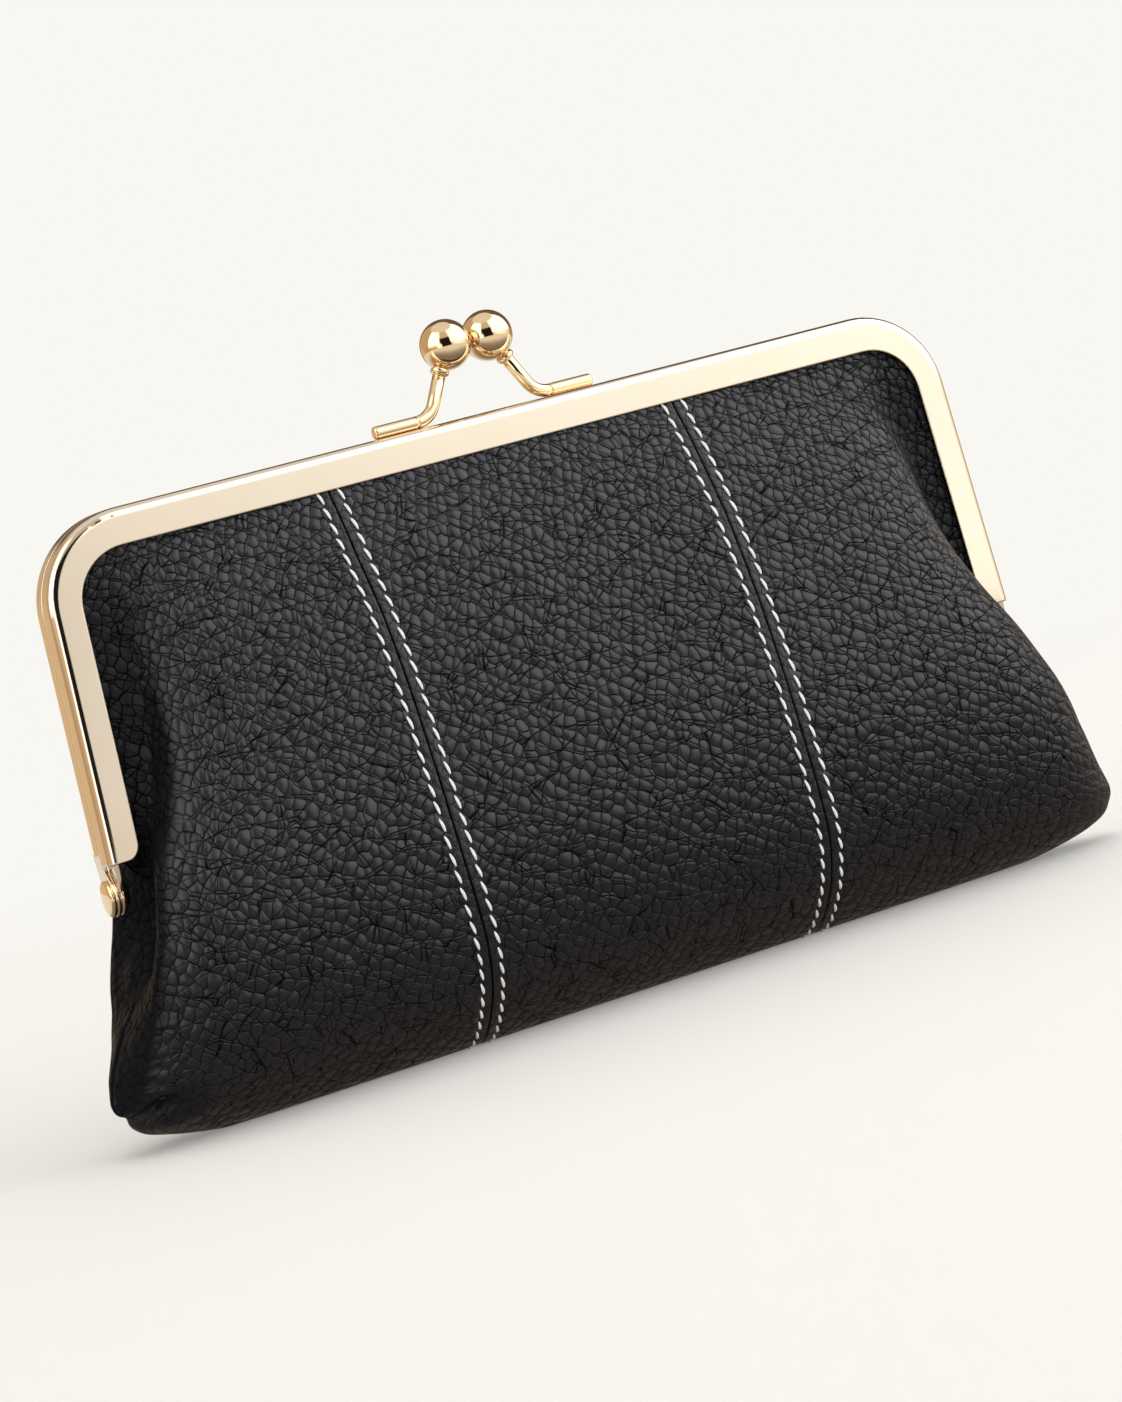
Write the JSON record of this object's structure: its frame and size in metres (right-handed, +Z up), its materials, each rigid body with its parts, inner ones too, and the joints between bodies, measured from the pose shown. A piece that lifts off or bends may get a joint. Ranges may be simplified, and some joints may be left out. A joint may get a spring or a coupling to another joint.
{
  "type": "kiss lock frame purse",
  "caption": "Black pebbled leather clutch purse on a hinged pale gold metal frame, closed by a kiss lock of ball knobs on bent wires.",
  "frame": {"origin": "on the floor under the middle of the closed purse, standing on its base", "axes": "+X along the frame to the right as seen from the front, -Y out of the front, +Z up"},
  "size_m": [0.218, 0.049, 0.1401],
  "materials": {
    "frame_metal": "polished, pale gold plated",
    "knob_metal": "mirror polished, pale gold plated",
    "leather": "satin pebbled grain",
    "lining": "plain woven",
    "cord": "twisted paper cord"
  },
  "bodies": {
    "pouch": {"pouch_left_strip": "leather", "pouch_centre_strip": "leather", "pouch_right_strip": "leather", "pouch_lining": "lining", "left_hinge_rivet": "frame_metal", "right_hinge_rivet": "frame_metal"},
    "front_half": {"front_frame": "frame_metal", "front_knob_foot": "knob_metal", "front_channel_cord": "cord", "front_left_panel": "leather", "front_centre_panel": "leather", "front_right_panel": "leather", "front_lining": "lining"},
    "rear_half": {"rear_frame": "frame_metal", "rear_knob_foot": "knob_metal", "rear_channel_cord": "cord", "rear_left_panel": "leather", "rear_centre_panel": "leather", "rear_right_panel": "leather", "rear_lining": "lining"},
    "front_knob": {"front_knob_stalk": "knob_metal", "front_knob_collar": "knob_metal", "front_knob_ball": "knob_metal"},
    "rear_knob": {"rear_knob_stalk": "knob_metal", "rear_knob_collar": "knob_metal", "rear_knob_ball": "knob_metal"}
  },
  "joints": [
    {"name": "front_half_hinge", "type": "hinge", "parent": "pouch", "child": "front_half", "pos_m": [0, 0, 0.0485], "axis": [1, 0, 0], "range_deg": [0, 40]},
    {"name": "rear_half_hinge", "type": "hinge", "parent": "pouch", "child": "rear_half", "pos_m": [0, 0, 0.0485], "axis": [-1, 0, 0], "range_deg": [0, 40]},
    {"name": "front_knob_flex", "type": "hinge", "parent": "front_half", "child": "front_knob", "pos_m": [-0.01705, -0.00267, 0.12142], "axis": [0, -1, 0], "range_deg": [0, 5], "stiffness_Nm_per_rad": 0.5},
    {"name": "rear_knob_flex", "type": "hinge", "parent": "rear_half", "child": "rear_knob", "pos_m": [0.01495, 0.00267, 0.12142], "axis": [0, 1, 0], "range_deg": [0, 5], "stiffness_Nm_per_rad": 0.5}
  ]
}
